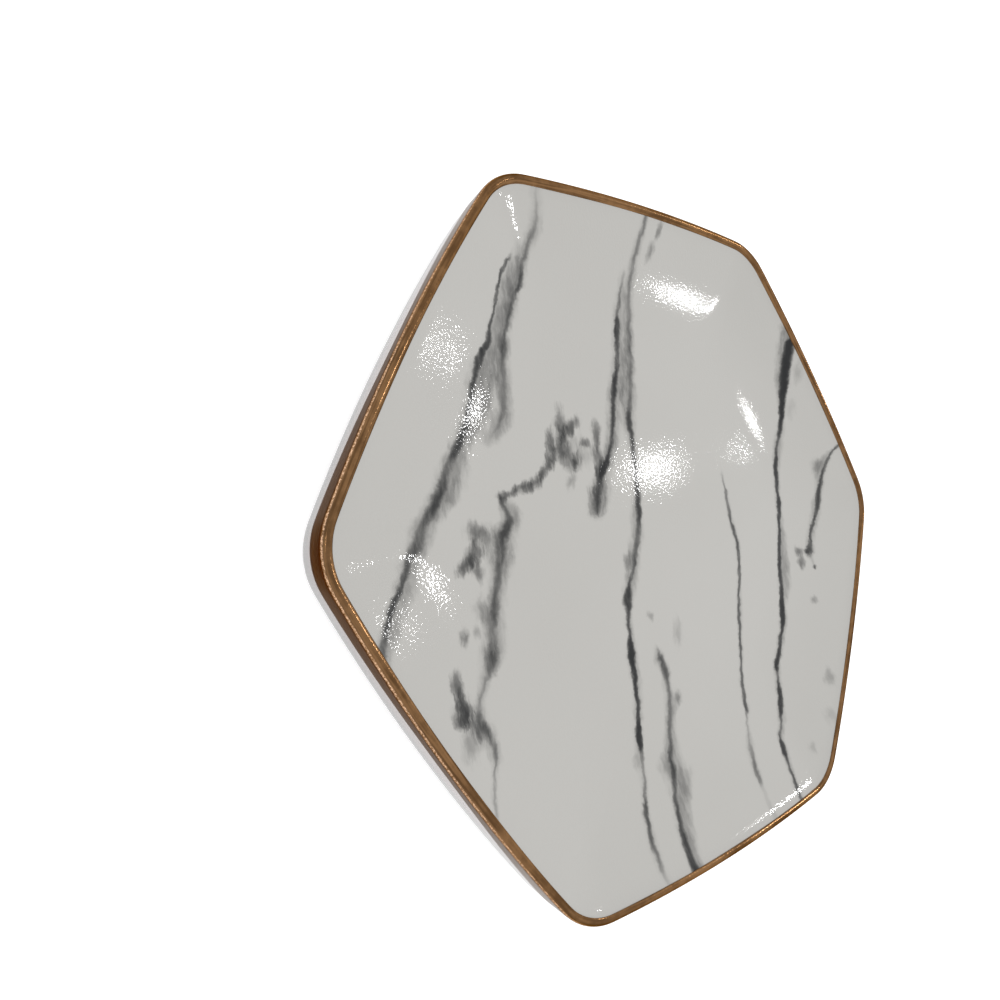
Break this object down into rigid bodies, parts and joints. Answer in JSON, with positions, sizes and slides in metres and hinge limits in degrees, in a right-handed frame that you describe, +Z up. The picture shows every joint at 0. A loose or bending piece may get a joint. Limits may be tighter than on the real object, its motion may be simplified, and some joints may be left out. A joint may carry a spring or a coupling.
{
  "type": "ring dish",
  "caption": "Shallow hexagonal ceramic ring dish with bowed sides, round corners, a marbled glaze inside, a gold band over the rim and a bare foot ring below.",
  "frame": {"origin": "on the table, under the middle of the dish", "axes": "+Z up out of the dish, +X through one corner, +Y through the middle of one side"},
  "size_m": [0.1166, 0.106, 0.013],
  "materials": {
    "bare_clay": "bare fired stoneware, smooth and matt",
    "marbled_glaze": "gloss glaze, pale grey with darker grey and black marble veins, faint orange peel",
    "plain_glaze": "gloss glaze, plain white-grey",
    "gold_lustre": "fired gold lustre, bright, slightly speckled"
  },
  "bodies": {
    "root": {"clay_body": "bare_clay", "marble_glaze": "marbled_glaze", "side_glaze": "plain_glaze", "base_glaze": "plain_glaze", "gold_rim": "gold_lustre"}
  },
  "joints": []
}
